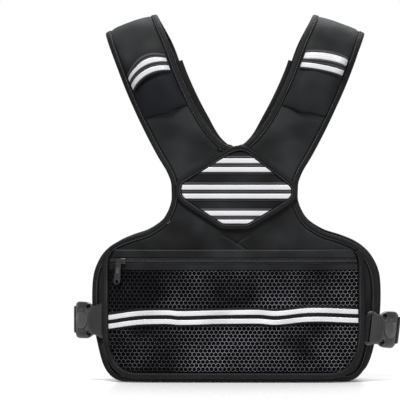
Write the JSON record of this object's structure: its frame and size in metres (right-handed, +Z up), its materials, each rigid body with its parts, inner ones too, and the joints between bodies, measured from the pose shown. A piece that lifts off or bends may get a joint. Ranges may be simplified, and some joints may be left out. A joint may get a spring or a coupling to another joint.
{
  "type": "weighted vest",
  "caption": "Padded weighted vest with wide shoulder straps, reflective ribbons, a zipped net pocket on the front and a side release buckle on each flank.",
  "frame": {"origin": "between the shoulders, level with the highest point of the straps' inner faces, where shoulders or a hanger carry the vest", "axes": "+Z up, the front faces -Y, +X towards the wearer's left"},
  "size_m": [0.4651, 0.1667, 0.5188],
  "materials": {
    "padded_cloth": "matte laminated knit over foam",
    "edge_tape": "ribbed woven tape",
    "ribbon": "woven ribbon",
    "reflective": "glass bead reflective tape",
    "net": "open knitted net",
    "zip": "nylon coil",
    "buckle": "moulded, fine grain",
    "webbing": "flat woven webbing"
  },
  "bodies": {
    "root": {"front_panel": "padded_cloth", "strap_left": "padded_cloth", "strap_right": "padded_cloth", "front_tape": "edge_tape", "neck_tape": "edge_tape", "back_panel": "padded_cloth", "back_leg_left": "padded_cloth", "back_leg_right": "padded_cloth", "back_tape": "edge_tape", "back_neck_tape": "edge_tape", "patch": "padded_cloth", "patch_tape": "edge_tape", "patch_ribbon_1": "ribbon", "patch_ribbon_2": "ribbon", "patch_ribbon_3": "ribbon", "patch_stripe_1": "reflective", "patch_stripe_2": "reflective", "patch_stripe_3": "reflective", "patch_stripe_4": "reflective", "patch_stripe_5": "reflective", "patch_stripe_6": "reflective", "pouch_left": "padded_cloth", "pouch_right": "padded_cloth", "shoulder_ribbon_left": "ribbon", "shoulder_ribbon_right": "ribbon", "shoulder_stripe_left_1": "reflective", "shoulder_stripe_left_2": "reflective", "shoulder_stripe_right_1": "reflective", "shoulder_stripe_right_2": "reflective", "pocket_tape": "edge_tape", "pocket_band": "padded_cloth", "zip_tape": "zip", "zip_chain": "zip", "pocket_lower_band": "padded_cloth", "pocket_net": "net", "pocket_ribbon": "ribbon", "pocket_stripe_1": "reflective", "pocket_stripe_2": "reflective", "zip_slider": "buckle", "zip_puller": "buckle", "buckle_socket_left": "buckle", "buckle_socket_right": "buckle", "buckle_plug_left": "buckle", "buckle_plug_right": "buckle", "webbing_front_left": "webbing", "webbing_front_right": "webbing", "webbing_back_left": "webbing", "webbing_back_right": "webbing"}
  },
  "joints": []
}
